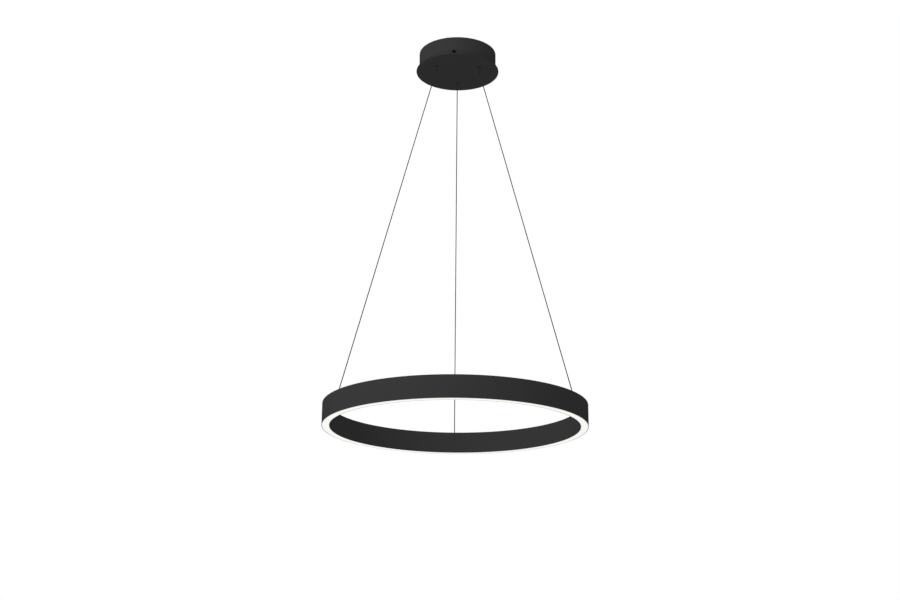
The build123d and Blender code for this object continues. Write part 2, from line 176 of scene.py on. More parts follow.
class PENDANT_PG_shape(bpy.types.PropertyGroup):
    """Sizes of the fine shapes that the frame leaves plain."""

    edge_round: FloatProperty(
        name="Edge rounding",
        description="Radius of the coated outer edges",
        default=0.0005,
        unit="LENGTH",
        precision=5,
    )
    lip_round: FloatProperty(
        name="Lip rounding",
        description="Radius of the thin lips of the housing and the can",
        default=0.0002,
        unit="LENGTH",
        precision=5,
    )
    lens_round: FloatProperty(
        name="Diffuser rounding",
        description="Radius of the lower edges of the diffuser",
        default=0.0004,
        unit="LENGTH",
        precision=5,
    )
    node_round: FloatProperty(
        name="Small rounding",
        description="Radius of the edges of the small moulded pieces",
        default=0.0002,
        unit="LENGTH",
        precision=5,
    )
    strand_lay: FloatProperty(
        name="Strand lay",
        description="Length of wire in which a strand makes one turn",
        default=0.014,
        unit="LENGTH",
    )
    ring_steps: IntProperty(
        name="Ring steps",
        description="Sides of the large round pieces",
        default=288,
        min=48,
    )
    button_steps: IntProperty(
        name="Button steps",
        description="Sides of the small round pieces",
        default=48,
        min=12,
    )


class PENDANT_PG_finish(bpy.types.PropertyGroup):
    """Colours and finishes that a user would change."""

    coat_colour: FloatVectorProperty(
        name="Coat colour",
        description="Colour of the powder coat on the ring and the canopy",
        subtype="COLOR",
        default=(0.034, 0.034, 0.0355),
    )
    coat_grain: FloatProperty(
        name="Coat grain",
        description="Width of one grain of the powder coat",
        default=0.0006,
        unit="LENGTH",
        precision=5,
    )
    light_colour: FloatVectorProperty(
        name="Light colour",
        description="Colour of the lit diffuser",
        subtype="COLOR",
        default=(1.0, 0.997, 0.96),
    )
    light_level: FloatProperty(
        name="Light level",
        description="How strongly the diffuser glows",
        default=0.51,
        min=0.0,
    )
    wire_colour: FloatVectorProperty(
        name="Wire colour",
        description="Colour of the stranded wires",
        subtype="COLOR",
        default=(0.034, 0.034, 0.036),
    )


class PENDANT_PG_stage(bpy.types.PropertyGroup):
    """The camera, the floor and the studio light."""

    camera_place: FloatVectorProperty(
        name="Camera place",
        description="Where the camera stands, in the lamp's frame",
        subtype="TRANSLATION",
        unit="LENGTH",
        default=(-0.0137, -3.0938, -1.5924),
    )
    camera_pitch: FloatProperty(
        name="Camera pitch",
        description="How far the camera looks up from level",
        subtype="ANGLE",
        default=0.3019,
    )
    camera_roll: FloatProperty(
        name="Camera roll",
        description="Turn of the camera about its own line of sight",
        subtype="ANGLE",
        default=0.0081,
    )
    lens: FloatProperty(
        name="Lens",
        description="Focal length on a sensor 36 mm wide",
        unit="CAMERA",
        default=55.92,
    )
    floor_level: FloatProperty(
        name="Floor level",
        description="Height of the floor below the ceiling",
        unit="LENGTH",
        default=-2.4,
    )
    floor_colour: FloatVectorProperty(
        name="Floor colour",
        description="Colour of the plain floor",
        subtype="COLOR",
        default=(0.88, 0.88, 0.87),
    )
    ambient: FloatProperty(
        name="Ambient light",
        description="Brightness of the even light from all round",
        default=0.66,
        min=0.0,
    )
    key_power: FloatProperty(
        name="Key light",
        description="Power of the large soft light at the left",
        default=120.0,
        min=0.0,
        unit="POWER",
    )


# Places and outlines


def on_circle(radius, angle, level):
    """A point at a radius and angle about the lamp's axis."""
    return Vector((radius * cos(angle), radius * sin(angle), level))


def upright(place, angle):
    """A frame at a place whose X runs out along angle and whose Z is up."""
    return Matrix.Translation(place) @ Matrix.Rotation(angle, 4, "Z")


def outward(radius, angle, level):
    """A frame on a wall round the lamp's axis whose Z points outwards."""
    turn = Matrix.Rotation(angle, 4, "Z") @ Matrix.Rotation(pi / 2, 4, "Y")
    return Matrix.Translation(on_circle(radius, angle, level)) @ turn


def polygon(count, flats):
    """A regular polygon of a size across its flats, with a corner on the X axis."""
    radius = flats / 2 / cos(pi / count)
    angles = [tau * i / count for i in range(count)]
    return [(radius * cos(a), radius * sin(a)) for a in angles]


def rectangle(width, depth):
    """A rectangle about the origin."""
    x, y = width / 2, depth / 2
    return [(-x, -y), (x, -y), (x, y), (-x, y)]


def slot_outline(length, width):
    """A slot with round ends, along X."""
    ends = []
    for side, start in ((1, -pi / 2), (-1, pi / 2)):
        for step in range(SLOT_STEPS + 1):
            a = start + pi * step / SLOT_STEPS
            ends.append((side * (length - width) / 2 + width / 2 * cos(a), width / 2 * sin(a)))
    return ends


def rounded(corners):
    """An outline from corners (x, y, radius), where a corner with a radius becomes an arc."""
    points = []
    for i, (x, y, radius) in enumerate(corners):
        here = Vector((x, y))
        if not radius:
            points.append(here)
            continue
        back = (Vector(corners[i - 1][:2]) - here).normalized()
        ahead = (Vector(corners[(i + 1) % len(corners)][:2]) - here).normalized()
        half = acos(back.dot(ahead)) / 2
        centre = here + (back + ahead).normalized() * (radius / sin(half))
        first = (here + back * (radius / tan(half)) - centre).normalized()
        last = (here + ahead * (radius / tan(half)) - centre).normalized()
        for step in range(ARC_STEPS + 1):
            points.append(centre + radius * first.slerp(last, step / ARC_STEPS))
    return points


# Meshes


def add_lathe(bm, outline, steps, place=Matrix.Identity(4)):
    """Turn a closed outline of (radius, height) about the Z axis of a place."""
    angles = [tau * step / steps for step in range(steps)]
    rings = []
    for radius, height in outline:
        if radius:
            ring = [bm.verts.new(place @ on_circle(radius, a, height)) for a in angles]
        else:
            ring = [bm.verts.new(place @ Vector((0, 0, height)))] * steps
        rings.append(ring)
    for i, ring in enumerate(rings):
        before = rings[i - 1]
        for step in range(steps):
            after = (step + 1) % steps
            corners = [before[step], before[after], ring[after], ring[step]]
            corners = list(dict.fromkeys(corners))
            if len(corners) > 2:
                bm.faces.new(corners)


def add_prism(bm, outline, low, high, place):
    """Raise a flat outline of (x, y) from low to high along the Z axis of a place."""
    floor = [bm.verts.new(place @ Vector((x, y, low))) for x, y in outline]
    roof = [bm.verts.new(place @ Vector((x, y, high))) for x, y in outline]
    bm.faces.new(floor[::-1])
    bm.faces.new(roof)
    for i in range(len(outline)):
        bm.faces.new((floor[i - 1], floor[i], roof[i], roof[i - 1]))


def add_tube(bm, rings):
    """A closed tube through rings of points, all with the same count."""
    rows = [[bm.verts.new(point) for point in ring] for ring in rings]
    for before, row in zip(rows, rows[1:]):
        for i in range(len(row)):
            bm.faces.new((before[i - 1], before[i], row[i], row[i - 1]))
    bm.faces.new(rows[0])
    bm.faces.new(rows[-1])


def make_piece(name, bm, sharp=SHARP):
    """A smooth object from finished mesh data."""
    bmesh.ops.recalc_face_normals(bm, faces=bm.faces)
    mesh = bpy.data.meshes.new(name)
    bm.to_mesh(mesh)
    bm.free()
    mesh.shade_smooth()
    mesh.set_sharp_from_angle(angle=sharp)
    piece = bpy.data.objects.new(name, mesh)
    bpy.context.scene.collection.objects.link(piece)
    return piece


def apply_modifiers(piece):
    """Keep what a piece's modifiers make of it as its own mesh."""
    evaluated = piece.evaluated_get(bpy.context.evaluated_depsgraph_get())
    plain = piece.data
    piece.data = bpy.data.meshes.new_from_object(evaluated)
    piece.modifiers.clear()
    bpy.data.meshes.remove(plain)
    piece.data.name = piece.name


def cut(piece, cutter_mesh):
    """Cut a closed mesh out of a piece."""
    cutter = make_piece("cutter", cutter_mesh)
    boolean = piece.modifiers.new("cut", "BOOLEAN")
    boolean.object = cutter
    boolean.solver = "EXACT"
    apply_modifiers(piece)
    bpy.data.objects.remove(cutter)
    piece.data.shade_smooth()
    piece.data.set_sharp_from_angle(angle=SHARP)


def soften(node, width):
    """Close a node's split corners, join its flat faces and round its sharp edges by modifiers."""
    weld = node.modifiers.new("joined_corners", "WELD")
    weld.merge_threshold = SAME_CORNER
    whole = node.modifiers.new("whole_faces", "DECIMATE")
    whole.decimate_type = "DISSOLVE"
    whole.angle_limit = SAME_FACE
    bevel = node.modifiers.new("soft_edges", "BEVEL")
    bevel.width = width
    bevel.segments = SOFT_STEPS
    bevel.limit_method = "ANGLE"
    bevel.angle_limit = SOFT_EDGE
    bevel.harden_normals = True


def dress(piece, body, slot, *nodes):
    """Give a piece its body and its finish, and hide the nodes that it stands for."""
    piece.data.materials.clear()
    piece.data.materials.append(finish_of(slot))
    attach(piece, body)
    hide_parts(*nodes)


# Finishes


class Finish(NamedTuple):
    """How a surface looks: two near colours, its gloss, and the grain and broad patches in it."""

    colour: tuple
    shade: tuple
    smoothest: float
    roughest: float
    grain: float
    depth: float = 1e-5
    patch: float = 0.05
    metallic: float = 0.0
    specular: float = 0.5


FINISHES = {
    "black_nylon": Finish(
        colour=(0.029, 0.029, 0.030), shade=(0.034, 0.034, 0.035),
        smoothest=0.5, roughest=0.62, grain=0.0004, depth=2e-5, specular=0.08,
    ),
    "grey_rubber": Finish(
        colour=(0.12, 0.12, 0.12), shade=(0.16, 0.16, 0.16),
        smoothest=0.7, roughest=0.85, grain=0.0005, depth=3e-5, specular=0.3,
    ),
    "brass": Finish(
        colour=(0.70, 0.50, 0.21), shade=(0.60, 0.42, 0.17),
        smoothest=0.25, roughest=0.4, grain=0.0008, metallic=1.0,
    ),
    "spring_steel": Finish(
        colour=(0.55, 0.55, 0.56), shade=(0.45, 0.45, 0.46),
        smoothest=0.25, roughest=0.4, grain=0.0006, metallic=1.0,
    ),
    "black_steel": Finish(
        colour=(0.004, 0.004, 0.004), shade=(0.008, 0.008, 0.008),
        smoothest=0.4, roughest=0.55, grain=0.0004, specular=0.04,
    ),
    "white_plastic": Finish(
        colour=(0.80, 0.80, 0.77), shade=(0.74, 0.74, 0.71),
        smoothest=0.45, roughest=0.6, grain=0.0005, depth=2e-5,
    ),
    "board_green": Finish(
        colour=(0.03, 0.20, 0.07), shade=(0.05, 0.26, 0.09),
        smoothest=0.3, roughest=0.45, grain=0.0012,
    ),
    "winding_yellow": Finish(
        colour=(0.75, 0.52, 0.08), shade=(0.66, 0.45, 0.06),
        smoothest=0.3, roughest=0.4, grain=0.002, depth=2e-5,
    ),
    "film_red": Finish(
        colour=(0.42, 0.05, 0.03), shade=(0.36, 0.04, 0.03),
        smoothest=0.15, roughest=0.25, grain=0.003, depth=2e-5,
    ),
    "strip_white": Finish(
        colour=(0.85, 0.85, 0.82), shade=(0.8, 0.8, 0.77),
        smoothest=0.4, roughest=0.55, grain=0.001,
    ),
    "phosphor": Finish(
        colour=(0.85, 0.68, 0.18), shade=(0.8, 0.6, 0.12),
        smoothest=0.3, roughest=0.4, grain=0.0005,
    ),
    "opal": Finish(
        colour=(0.5, 0.49, 0.46), shade=(0.48, 0.47, 0.44),
        smoothest=0.4, roughest=0.5, grain=0.0008, specular=0.3,
    ),
}


def dimmed(colour, share):
    """A colour at a share of its brightness."""
    return tuple(share * channel for channel in colour)


def coat_look():
    """Matte powder coat: fine orange peel, with a slightly uneven tone."""
    wanted = bpy.context.scene.pendant_finish
    return Finish(
        colour=tuple(wanted.coat_colour), shade=dimmed(wanted.coat_colour, 0.88),
        smoothest=0.7, roughest=0.82, grain=wanted.coat_grain, depth=1e-4, patch=0.04, specular=0.0,
    )


def wire_look():
    """Dark drawn steel, a little brighter on some strands than on others."""
    wanted = bpy.context.scene.pendant_finish
    return Finish(
        colour=tuple(wanted.wire_colour), shade=dimmed(wanted.wire_colour, 0.6),
        smoothest=0.45, roughest=0.6, grain=0.0009, patch=0.02, specular=0.04,
    )


class NodeDesk:
    """Adds nodes to a node tree and joins their sockets."""

    def __init__(self, tree):
        self.tree = tree

    def add(self, kind, **values):
        """A new node, with its properties set by name."""
        node = self.tree.nodes.new(kind)
        for name, value in values.items():
            setattr(node, name, value)
        return node

    def join(self, source, target):
        """A link from an output to an input."""
        self.tree.links.new(source, target)


def grain_group():
    """Colour, roughness and height that change with a fine grain and a broad unevenness."""
    name = "surface_grain"
    if name in bpy.data.node_groups:
        return bpy.data.node_groups[name]
    group = bpy.data.node_groups.new(name, "ShaderNodeTree")
    sockets = (
        ("Grain Size", "INPUT", "NodeSocketFloat"),
        ("Patch Size", "INPUT", "NodeSocketFloat"),
        ("Colour", "INPUT", "NodeSocketColor"),
        ("Shade", "INPUT", "NodeSocketColor"),
        ("Smoothest", "INPUT", "NodeSocketFloat"),
        ("Roughest", "INPUT", "NodeSocketFloat"),
        ("Colour", "OUTPUT", "NodeSocketColor"),
        ("Roughness", "OUTPUT", "NodeSocketFloat"),
        ("Height", "OUTPUT", "NodeSocketFloat"),
    )
    for label, way, kind in sockets:
        group.interface.new_socket(name=label, in_out=way, socket_type=kind)
    desk = NodeDesk(group)
    given = desk.add("NodeGroupInput").outputs
    result = desk.add("NodeGroupOutput").inputs
    place = desk.add("ShaderNodeTexCoord").outputs["Object"]
    noises = []
    for size in ("Grain Size", "Patch Size"):
        count = desk.add("ShaderNodeMath", operation="DIVIDE")
        count.inputs[0].default_value = 1.0
        desk.join(given[size], count.inputs[1])
        noise = desk.add("ShaderNodeTexNoise")
        noise.inputs["Detail"].default_value = NOISE_DETAIL
        desk.join(place, noise.inputs["Vector"])
        desk.join(count.outputs[0], noise.inputs["Scale"])
        noises.append(noise.outputs["Fac"])
    grain, patch = noises
    both = desk.add("ShaderNodeMath", operation="ADD")
    half = desk.add("ShaderNodeMath", operation="MULTIPLY")
    half.inputs[1].default_value = 0.5
    desk.join(grain, both.inputs[0])
    desk.join(patch, both.inputs[1])
    desk.join(both.outputs[0], half.inputs[0])
    mixed = desk.add("ShaderNodeMix", data_type="RGBA")
    desk.join(half.outputs[0], mixed.inputs["Factor"])
    desk.join(given["Colour"], mixed.inputs["A"])
    desk.join(given["Shade"], mixed.inputs["B"])
    polish = desk.add("ShaderNodeMapRange")
    desk.join(patch, polish.inputs["Value"])
    desk.join(given["Smoothest"], polish.inputs["To Min"])
    desk.join(given["Roughest"], polish.inputs["To Max"])
    desk.join(mixed.outputs["Result"], result["Colour"])
    desk.join(polish.outputs["Result"], result["Roughness"])
    desk.join(grain, result["Height"])
    return group


def distance_from_axis(desk):
    """How far a point lies from the lamp's axis."""
    place = desk.add("ShaderNodeTexCoord").outputs["Object"]
    flat = desk.add("ShaderNodeVectorMath", operation="MULTIPLY")
    flat.inputs[1].default_value = (1, 1, 0)
    distance = desk.add("ShaderNodeVectorMath", operation="LENGTH")
    desk.join(place, flat.inputs[0])
    desk.join(flat.outputs["Vector"], distance.inputs[0])
    return distance.outputs["Value"]


def background_rays(desk):
    """One for the rays that show the background itself, and zero for those that light things."""
    path = desk.add("ShaderNodeLightPath").outputs
    shown = path["Is Camera Ray"]
    for ray in ("Is Glossy Ray", "Is Transmission Ray"):
        either = desk.add("ShaderNodeMath", operation="MAXIMUM")
        desk.join(shown, either.inputs[0])
        desk.join(path[ray], either.inputs[1])
        shown = either.outputs["Value"]
    return shown


def new_material(name):
    """An empty node material, its desk and its Principled shader."""
    material = bpy.data.materials.new(name)
    material.use_nodes = True
    material.node_tree.nodes.clear()
    desk = NodeDesk(material.node_tree)
    shader = desk.add("ShaderNodeBsdfPrincipled")
    surface = desk.add("ShaderNodeOutputMaterial")
    desk.join(shader.outputs["BSDF"], surface.inputs["Surface"])
    return material, desk, shader


def add_grain(desk, shader, look):
    """Feed a shader's colour, roughness and normal from the grain group."""
    grain = desk.add("ShaderNodeGroup", node_tree=grain_group())
    grain.inputs["Grain Size"].default_value = look.grain
    grain.inputs["Patch Size"].default_value = look.patch
    grain.inputs["Colour"].default_value = (*look.colour, 1)
    grain.inputs["Shade"].default_value = (*look.shade, 1)
    grain.inputs["Smoothest"].default_value = look.smoothest
    grain.inputs["Roughest"].default_value = look.roughest
    bump = desk.add("ShaderNodeBump")
    bump.inputs["Distance"].default_value = look.depth
    desk.join(grain.outputs["Height"], bump.inputs["Height"])
    desk.join(grain.outputs["Colour"], shader.inputs["Base Color"])
    desk.join(grain.outputs["Roughness"], shader.inputs["Roughness"])
    desk.join(bump.outputs["Normal"], shader.inputs["Normal"])
    shader.inputs["Metallic"].default_value = look.metallic
    shader.inputs["Specular IOR Level"].default_value = look.specular


def add_glow_and_wall_shade(desk, shader):
    """Light the opal acrylic from inside, with painted shade of the housing's walls dimming it a
    little towards its two edges.
    """
    wanted = bpy.context.scene.pendant_finish
    across = desk.add("ShaderNodeMapRange")
    across.inputs["From Min"].default_value = LENS_BORE
    across.inputs["From Max"].default_value = LENS_RADIUS
    glow_with_wall_shade = desk.add("ShaderNodeValToRGB")
    ramp = glow_with_wall_shade.color_ramp
    ramp.interpolation = "EASE"
    for position, _ in GLOW_AND_WALL_SHADE_STOPS[1:-1]:
        ramp.elements.new(position)
    # the lower levels at both ends are painted shade of the housing's walls, not a real change in
    # the glow
    for element, (position, level) in zip(ramp.elements, GLOW_AND_WALL_SHADE_STOPS):
        element.position = position
        element.color = (*dimmed(wanted.light_colour, level), 1)
    desk.join(distance_from_axis(desk), across.inputs["Value"])
    desk.join(across.outputs["Result"], glow_with_wall_shade.inputs["Fac"])
    desk.join(glow_with_wall_shade.outputs["Color"], shader.inputs["Emission Color"])
    shader.inputs["Emission Strength"].default_value = wanted.light_level


def finish_of(slot):
    """The material of a slot, made when it is first asked for."""
    name = f"{slot}_finish"
    if name in bpy.data.materials:
        return bpy.data.materials[name]
    material, desk, shader = new_material(name)
    adjustable = {"black_coat": coat_look, "black_alloy": coat_look, "wire_steel": wire_look}
    look = adjustable[slot]() if slot in adjustable else FINISHES[slot]
    add_grain(desk, shader, look)
    if slot == "opal":
        add_glow_and_wall_shade(desk, shader)
    return material


# Steps that build the lamp


class PENDANT_OT_stage(bpy.types.Operator):
    """Set up the camera, the plain floor, the white background and the studio light"""

    bl_idname = "pendant.stage"
    bl_label = "Stage"

    floor_half = 6.0
    floor_fade = (0.6, 4.0)  # from the lamp's axis, where the floor starts and ends turning white
    floor_roughness = 0.9
    key_place = Vector((-2.7, -3.0, 0.9))
    key_size = 2.6
    aim = Vector((0, 0, -0.5))

    def build_camera(self, context, stage):
        """The camera at the photograph's angle."""
        camera = bpy.data.objects.new("camera", bpy.data.cameras.new("camera"))
        context.scene.collection.objects.link(camera)
        camera.data.lens = stage.lens
        look = Matrix.Rotation(pi / 2 + stage.camera_pitch, 4, "X")
        roll = Matrix.Rotation(stage.camera_roll, 4, "Z")
        camera.matrix_world = Matrix.Translation(stage.camera_place) @ look @ roll
        context.scene.camera = camera

    def floor_finish(self, stage):
        """Pale near the lamp, white further out, and clear when seen from below."""
        material, desk, shader = new_material("pale_floor")
        shader.inputs["Base Color"].default_value = (*stage.floor_colour, 1)
        shader.inputs["Roughness"].default_value = self.floor_roughness
        far = desk.add("ShaderNodeMapRange", interpolation_type="SMOOTHSTEP")
        far.inputs["From Min"].default_value = self.floor_fade[0]
        far.inputs["From Max"].default_value = self.floor_fade[1]
        share = desk.add("ShaderNodeMath", operation="MULTIPLY")
        white = desk.add("ShaderNodeEmission")
        faded = desk.add("ShaderNodeMixShader")
        clear = desk.add("ShaderNodeBsdfTransparent")
        one_sided = desk.add("ShaderNodeMixShader")
        below = desk.add("ShaderNodeNewGeometry").outputs["Backfacing"]
        output = next(n for n in material.node_tree.nodes if n.type == "OUTPUT_MATERIAL")
        desk.join(distance_from_axis(desk), far.inputs["Value"])
        desk.join(far.outputs["Result"], share.inputs[0])
        desk.join(background_rays(desk), share.inputs[1])
        desk.join(share.outputs["Value"], faded.inputs["Fac"])
        desk.join(shader.outputs["BSDF"], faded.inputs[1])
        desk.join(white.outputs["Emission"], faded.inputs[2])
        desk.join(below, one_sided.inputs["Fac"])
        desk.join(faded.outputs["Shader"], one_sided.inputs[1])
        desk.join(clear.outputs["BSDF"], one_sided.inputs[2])
        desk.join(one_sided.outputs["Shader"], output.inputs["Surface"])
        return material

    def build_floor(self, stage):
        """A plain pale floor."""
        bm = bmesh.new()
        size = 2 * self.floor_half
        corners = [bm.verts.new((x, y, stage.floor_level)) for x, y in rectangle(size, size)]
        bm.faces.new(corners)
        floor = make_piece("floor", bm)
        floor.data.materials.append(self.floor_finish(stage))

    def build_world(self, context, stage):
        """White where the camera or a reflection sees it, and an even soft light elsewhere."""
        world = bpy.data.worlds.new("studio")
        world.use_nodes = True
        world.node_tree.nodes.clear()
        desk = NodeDesk(world.node_tree)
        white = desk.add("ShaderNodeBackground")
        white.inputs["Color"].default_value = (1, 1, 1, 1)
        soft = desk.add("ShaderNodeBackground")
        soft.inputs["Color"].default_value = (1, 1, 1, 1)
        soft.inputs["Strength"].default_value = stage.ambient
        mixed = desk.add("ShaderNodeMixShader")
        output = desk.add("ShaderNodeOutputWorld")
        desk.join(background_rays(desk), mixed.inputs["Fac"])
        desk.join(soft.outputs["Background"], mixed.inputs[1])
        desk.join(white.outputs["Background"], mixed.inputs[2])
        desk.join(mixed.outputs["Shader"], output.inputs["Surface"])
        context.scene.world = world

    def build_light(self, context, stage):
        """A large soft light at the left, in front of the lamp."""
        data = bpy.data.lights.new("key", "AREA")
        data.energy = stage.key_power
        data.size = self.key_size
        key = bpy.data.objects.new("key", data)
        key.location = self.key_place
        key.rotation_euler = (self.aim - self.key_place).to_track_quat("-Z", "Y").to_euler()
        key.visible_camera = False
        key.visible_glossy = False
        context.scene.collection.objects.link(key)

    def execute(self, context):
        stage = context.scene.pendant_stage
        context.scene.view_settings.view_transform = "Standard"
        self.build_camera(context, stage)
        self.build_floor(stage)
        self.build_world(context, stage)
        self.build_light(context, stage)
        return {"FINISHED"}


class PENDANT_OT_wires(bpy.types.Operator):
    """Build the stranded suspension wires, taut from the grippers to the ring"""

    bl_idname = "pendant.wires"
    bl_label = "Suspension wires"

    tail_length = 0.029  # from the end to the exit at the nose, under a cord's limit of 30 mm
    bend_room = 0.004  # from a bend to the button's mouth above it or the ring's top below it
    ease = 6 * WIRE_DIAMETER  # from a bend to the next point of the route
    ring_step = 0.0012  # from one outline to the next along the wire
    strands = 6
    points_per_strand = 4
    spline_steps = 900
    sharp = radians(80)

    def route(self):
        """The wire's points as (distance from the lamp's axis, height)."""
        upper = Vector((WIRE_CIRCLE, PLUNGER_LOW - self.bend_room))
        lower = Vector((RING_MIDDLE, RING_TOP + self.bend_room))
        run = (lower - upper).normalized() * self.ease
        return [
            Vector((WIRE_CIRCLE, NOSE_LOW + self.tail_length)),
            upper + Vector((0, self.ease)),
            upper,
            upper + run,
            lower - run,
            lower,
            Vector((RING_MIDDLE, WIRE_END)),
        ]

    def centre_line(self, angle):
        """Points along the smooth curve of the route, a ring's step apart."""
        curve = bpy.data.curves.new("route", "CURVE")
        curve.dimensions = "3D"
        spline = curve.splines.new("NURBS")
        route = self.route()
        spline.points.add(len(route) - 1)
        for point, (radius, height) in zip(spline.points, route):
            point.co = (*on_circle(radius, angle, height), 1)
        spline.order_u = 3
        spline.use_endpoint_u = True
        spline.resolution_u = self.spline_steps
        holder = bpy.data.objects.new("route", curve)
        mesh = bpy.data.meshes.new_from_object(holder)
        line = [mesh.vertices[0].co.copy()]
        for vertex in mesh.vertices:
            if (vertex.co - line[-1]).length >= self.ring_step:
                line.append(vertex.co.copy())
        line.append(mesh.vertices[-1].co.copy())
        bpy.data.meshes.remove(mesh)
        bpy.data.objects.remove(holder)
        bpy.data.curves.remove(curve)
        return line

    def strand_outline(self):
        """The outline of six strands laid round a core, as (angle, radius)."""
        strand = WIRE_DIAMETER / 6  # its radius, as three strands lie across the wire
        ring = 2 * strand
        outline = []
        for index in range(self.strands):
            for step in range(self.points_per_strand):
                off = (step / self.points_per_strand - 0.5) * tau / self.strands
                bulge = sqrt(max(strand**2 - (ring * sin(off)) ** 2, 0))
                outline.append((index * tau / self.strands + off, ring * cos(off) + bulge))
        return outline

    def strand_rings(self, line, angle, lay):
        """That outline at each point of the line, turning once in each lay."""
        outline = self.strand_outline()
        across = Vector((-sin(angle), cos(angle), 0))
        rings = []
        run = 0.0
        for i, point in enumerate(line):
            ahead = line[min(i + 1, len(line) - 1)] - line[max(i - 1, 0)]
            beside = across.cross(ahead).normalized()
            if i:
                run += (point - line[i - 1]).length
            turn = tau * run / lay
            ring = []
            for a, radius in outline:
                spoke = across * cos(a + turn) + beside * sin(a + turn)
                ring.append(point + spoke * radius)
            rings.append(ring)
        return rings

    def execute(self, context):
        lay = context.scene.pendant_shape.strand_lay
        for side in SIDES:
            angle = gripper_angle(side)
            line = self.centre_line(angle)
            bm = bmesh.new()
            add_tube(bm, self.strand_rings(line, angle, lay))
            wire = make_piece(f"stranded_wire_{side}", bm, self.sharp)
            dress(wire, "canopy", "wire_steel", f"suspension_wire_{side}")
            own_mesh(wire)
        return {"FINISHED"}


class PENDANT_OT_ring(bpy.types.Operator):
    """Build the ring's bent housing, with a hole for each wire's bush"""

    bl_idname = "pendant.ring"
    bl_label = "Ring housing"

    def execute(self, context):
        shape = context.scene.pendant_shape
        web = RING_TOP - HOUSING_WEB
        corners = [
            (RING_BORE, RING_TOP, shape.edge_round),
            (RING_BORE, RING_LOW, shape.lip_round),
            (RING_BORE + HOUSING_LIP, RING_LOW, shape.lip_round),
            (RING_BORE + HOUSING_LIP, LENS_TOP, 0),
            (RING_BORE + HOUSING_WALL, LENS_TOP, 0),
            (RING_BORE + HOUSING_WALL, web, 0),
            (RING_RADIUS - HOUSING_WALL, web, 0),
            (RING_RADIUS - HOUSING_WALL, LENS_TOP, 0),
            (RING_RADIUS - HOUSING_LIP, LENS_TOP, 0),
            (RING_RADIUS - HOUSING_LIP, RING_LOW, shape.lip_round),
            (RING_RADIUS, RING_LOW, shape.lip_round),
            (RING_RADIUS, RING_TOP, shape.edge_round),
        ]
        bm = bmesh.new()
        add_lathe(bm, rounded(corners), shape.ring_steps)
        housing = make_piece("ring_shell", bm)
        holes = bmesh.new()
        for side in SIDES:
            angle = gripper_angle(side)
            place = upright(on_circle(RING_MIDDLE, angle, RING_TOP), angle)
            add_prism(holes, polygon(6, BUSH_HOLE_FLATS), -2 * HOUSING_WEB, HOUSING_WEB, place)
        cut(housing, holes)
        dress(housing, "ring", "black_alloy", "ring_housing")
        return {"FINISHED"}


class PENDANT_OT_diffuser(bpy.types.Operator):
    """Build the opal diffuser, flush between the housing's lips"""

    bl_idname = "pendant.diffuser"
    bl_label = "Diffuser"

    def execute(self, context):
        shape = context.scene.pendant_shape
        corners = [
            (LENS_BORE, RING_LOW, shape.lens_round),
            (LENS_RADIUS, RING_LOW, shape.lens_round),
            (LENS_RADIUS, LENS_TOP, 0),
            (LENS_BORE, LENS_TOP, 0),
        ]
        bm = bmesh.new()
        add_lathe(bm, rounded(corners), shape.ring_steps)
        dress(make_piece("ring_lens", bm), "ring", "opal", "ring_diffuser")
        return {"FINISHED"}


